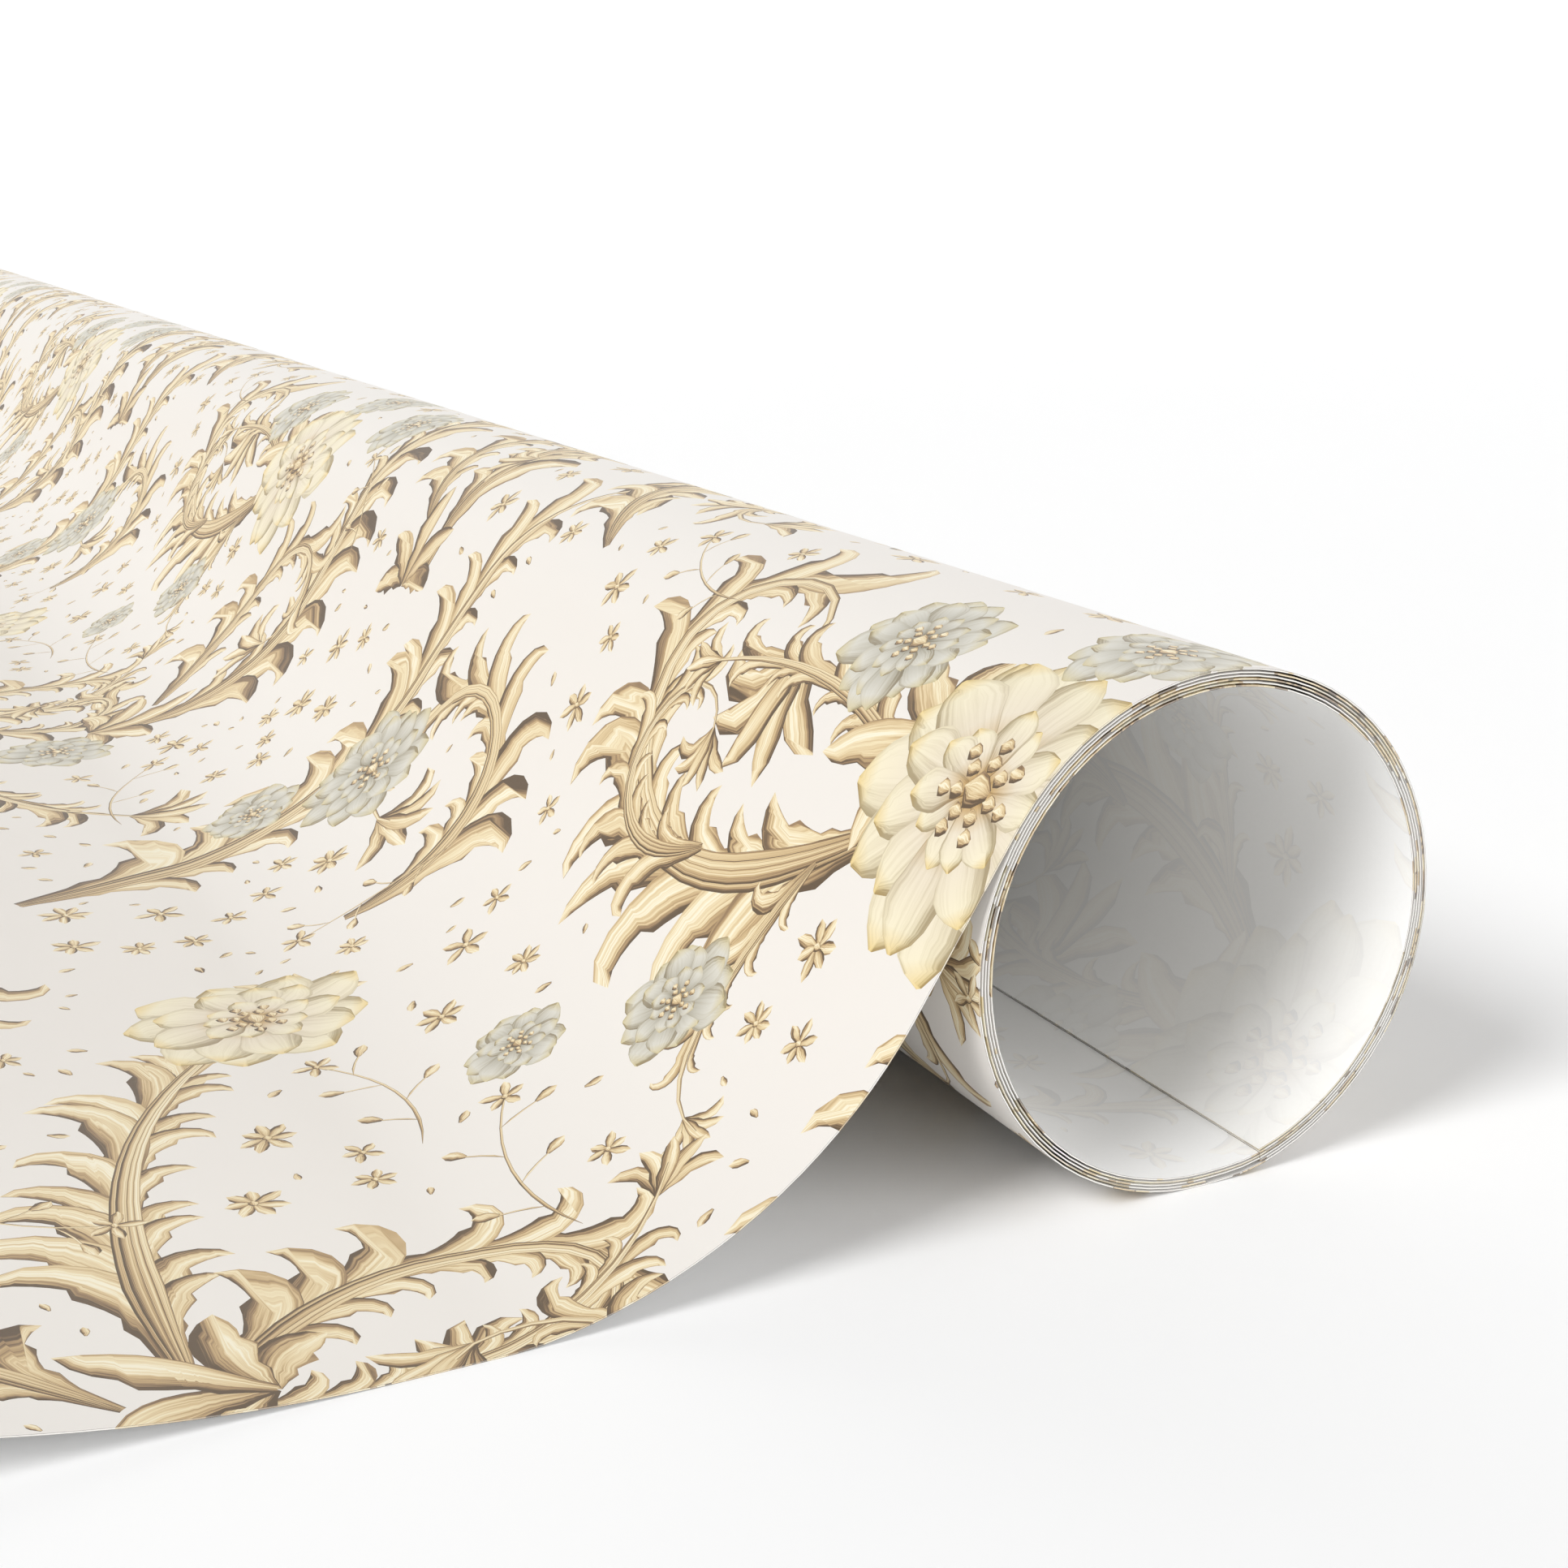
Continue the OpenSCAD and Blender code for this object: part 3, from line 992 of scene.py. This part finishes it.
def smooth_normals(mesh):
    """Gives both sides the true normals of the path, so that no triangle shows."""
    corners = len(mesh.loops)
    vertex = np.zeros(corners, np.int32)
    mesh.loops.foreach_get("vertex_index", vertex)
    flat = np.zeros(len(mesh.vertices) * 3, np.float32)
    mesh.attributes["flat"].data.foreach_get("vector", flat)
    out = outward(flat.reshape(-1, 3)[vertex, 1] / MM)
    side = np.zeros(len(mesh.polygons), np.int32)
    mesh.attributes["side"].data.foreach_get("value", side)
    size = np.zeros(len(mesh.polygons), np.int32)
    mesh.polygons.foreach_get("loop_total", size)
    own = np.zeros(len(mesh.polygons) * 3, np.float32)
    mesh.polygons.foreach_get("normal", own)
    side, own = np.repeat(side, size), np.repeat(own.reshape(-1, 3), size, axis=0)
    normals = np.c_[np.zeros(corners), out] * np.where(side == PLAIN, -1, 1)[:, None]
    normals = np.where((side == EDGE)[:, None], own, normals)
    mesh.normals_split_custom_set(normals.tolist())


# %% [markdown]
# ### The coil
#
# Five whole turns and a little more. The innermost turn shows its plain side all the way in,
# so it carries the ghost of the print. The turns between show only their ends, even when the
# coil is pushed out like a telescope, so ink there is cut only near the two ends.

# %% Turns of the coil
HALF_SLOT = 0.0859  # degrees, half of the gap between two turns that slide
TURN = 360
SPLIT_W, UNDER_W, BACK_W, TOP_W = 170, LEAVE_W - TURN, 5 * TURN, 1890
firsts = [make_piece(name, wound_rows(w0, w1), INNER_BANDS, ["turn_1"], True)
          for name, w0, w1 in (("first_turn_front_paper", HALF_SLOT, SPLIT_W),
                               ("first_turn_rear_paper", SPLIT_W, TURN - HALF_SLOT))]
second, third, fourth = [
    make_piece(name, wound_rows(k * TURN + HALF_SLOT, w1 - HALF_SLOT), END_BANDS, [node])
    for name, k, w1, node in (("second_turn_paper", 1, 2 * TURN, "turn_2"),
                              ("third_turn_paper", 2, 3 * TURN, "turn_3"),
                              ("fourth_turn_paper", 3, 4 * TURN - STEP_ARC, "turn_4"))]
under = make_piece("under_turn_paper", wound_rows(4 * TURN, UNDER_W), END_BANDS, ["turn_5"])
outsides = [make_piece(name, wound_rows(w0, w1), EVERYWHERE, [node])
            for name, w0, w1, node in (("outside_rear_paper", UNDER_W, BACK_W, "turn_5"),
                                       ("outside_back_paper", BACK_W, TOP_W, "outer_turn"),
                                       ("outside_top_paper", TOP_W, LEAVE_W, "outer_turn"))]
for piece in firsts:
    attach(piece, "first_turn")
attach(second, "second_turn")
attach(third, "third_turn")
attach(fourth, "coil")
for piece in [under] + outsides:
    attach(piece, "roll")

# %% [markdown]
# ### The way down and the laid sheet
#
# Paper that is pulled off a roll bends where it is free and stays still where it lies. Each
# stretch below follows the traced path and takes the place of one or two parts of the frame.

# %% Stretches beyond the roll
TOE_ZONE = 20


def length_where(y):
    """Length along the sheet beyond the toe at a place y, in millimetres."""
    beyond = along > LEAD_LEN - TOE_ZONE
    return float(np.interp(-y, -path[beyond, 0], along[beyond]))


LEAD_END_Y, LAID_END_Y = -77.5, -107.0
lead_end, laid_end = length_where(LEAD_END_Y), length_where(LAID_END_Y)
fall_end = lead_end / 2
for name, s0, s1, node in (("lead_upper_paper", 0, fall_end, "lead_drop"),
                           ("lead_lower_paper", fall_end, lead_end, "lead_toe")):
    lead = make_piece(name, laid_rows(s0, s1), EVERYWHERE, [node])
    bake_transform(lead)
laid = make_piece("laid_paper", laid_rows(lead_end, laid_end), EVERYWHERE,
                  ["laid_near"])
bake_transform(laid)
end = make_piece("end_paper", laid_rows(laid_end, FREE_EDGE), EVERYWHERE,
                 ["laid_mid", "laid_end"])
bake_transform(end)
bpy.data.objects.remove(path_object)

# %% [markdown]
# ## The room
#
# A plain pale floor that curves up into a wall far behind, like the paper sweep of a studio,
# with a soft key light high on the left, a fill from the front that reaches into the bore,
# and white surroundings. The sweep stands square to the camera's view.

# %% Floor
YAW, PITCH_DOWN = math.radians(63.734), math.radians(15.914)
REACH, BEND_R, WALL_TOP, HALF_WIDTH = 3.0, 1.5, 4.0, 4.5


def studio_floor():
    """A sheet of pale backdrop, lying under the object and curving up behind it."""
    bend = [(REACH + BEND_R * math.sin(a), BEND_R - BEND_R * math.cos(a))
            for a in np.radians(np.arange(0, 91, 6))]
    profile = [(-REACH, 0.0)] + bend + [(REACH + BEND_R, WALL_TOP)]
    back, side = (-math.sin(YAW), math.cos(YAW)), (math.cos(YAW), math.sin(YAW))
    points = []
    for reach, height in profile:
        for wide in (-HALF_WIDTH, HALF_WIDTH):
            points.append((back[0] * reach + side[0] * wide, back[1] * reach + side[1] * wide,
                           TABLE_Z * MM + height))
    faces = [(2 * i, 2 * i + 1, 2 * i + 3, 2 * i + 2) for i in range(len(profile) - 1)]
    mesh = bpy.data.meshes.new("studio_floor")
    mesh.from_pydata(points, [], faces)
    mesh.shade_smooth()
    floor = bpy.data.objects.new("studio_floor", mesh)
    bpy.context.scene.collection.objects.link(floor)
    material = bpy.data.materials.new("pale_floor")
    material.use_nodes = True
    shader = material.node_tree.nodes["Principled BSDF"]
    tone = new_node(material.node_tree, "ShaderNodeTexCoord").outputs["Object"]
    speck = noise(material.node_tree, tone, 3.0)
    pale = ramp(material.node_tree, speck, (0.0, 248, 248, 248), (1.0, 250, 250, 250))
    material.node_tree.links.new(pale, shader.inputs["Base Color"])
    shader.inputs["Roughness"].default_value = 0.8
    shader.inputs["Specular IOR Level"].default_value = 0.0
    mesh.materials.append(material)
    return floor


studio_floor()
print("floor: a bend of radius", BEND_R, "m,", REACH, "m behind the roll")

# %% Light
world = bpy.data.worlds.new("white_room")
world.use_nodes = True
world.node_tree.nodes["Background"].inputs["Color"].default_value = (1, 1, 1, 1)
world.node_tree.nodes["Background"].inputs["Strength"].default_value = 0.43
bpy.context.scene.world = world


def sun(name, towards, strength, softness):
    """Even light from far away; softness is how wide the light looks, in degrees."""
    lamp = bpy.data.lights.new(name, "SUN")
    lamp.energy = strength
    lamp.angle = math.radians(softness)
    holder = bpy.data.objects.new(name, lamp)
    holder.rotation_euler = Vector(towards).to_track_quat("-Z", "Y").to_euler()
    bpy.context.scene.collection.objects.link(holder)


sun("key_light", (-0.2, 0.8, -0.66), 2.12, 24)
sun("front_fill", (-0.8, -0.55, -0.08), 2.4, 50)

# %% [markdown]
# ## Camera
#
# A normal lens just above the table, close to the near end of the roll, looking along it
# and a little down.

# %% Camera
lens = bpy.data.cameras.new("camera")
lens.sensor_width = 36
lens.lens = 49.75
lens.clip_start = 0.01
camera = bpy.data.objects.new("camera", lens)
camera.location = (NEAR_X * MM + 0.12751, -0.10007, 0.05772)
look = Vector((-math.sin(YAW) * math.cos(PITCH_DOWN), math.cos(YAW) * math.cos(PITCH_DOWN),
               -math.sin(PITCH_DOWN)))
camera.rotation_euler = look.to_track_quat("-Z", "Y").to_euler()
bpy.context.scene.collection.objects.link(camera)
bpy.context.scene.camera = camera
bpy.context.scene.view_settings.view_transform = "Standard"
print("camera:", lens.lens, "mm at", [round(v, 3) for v in camera.location])
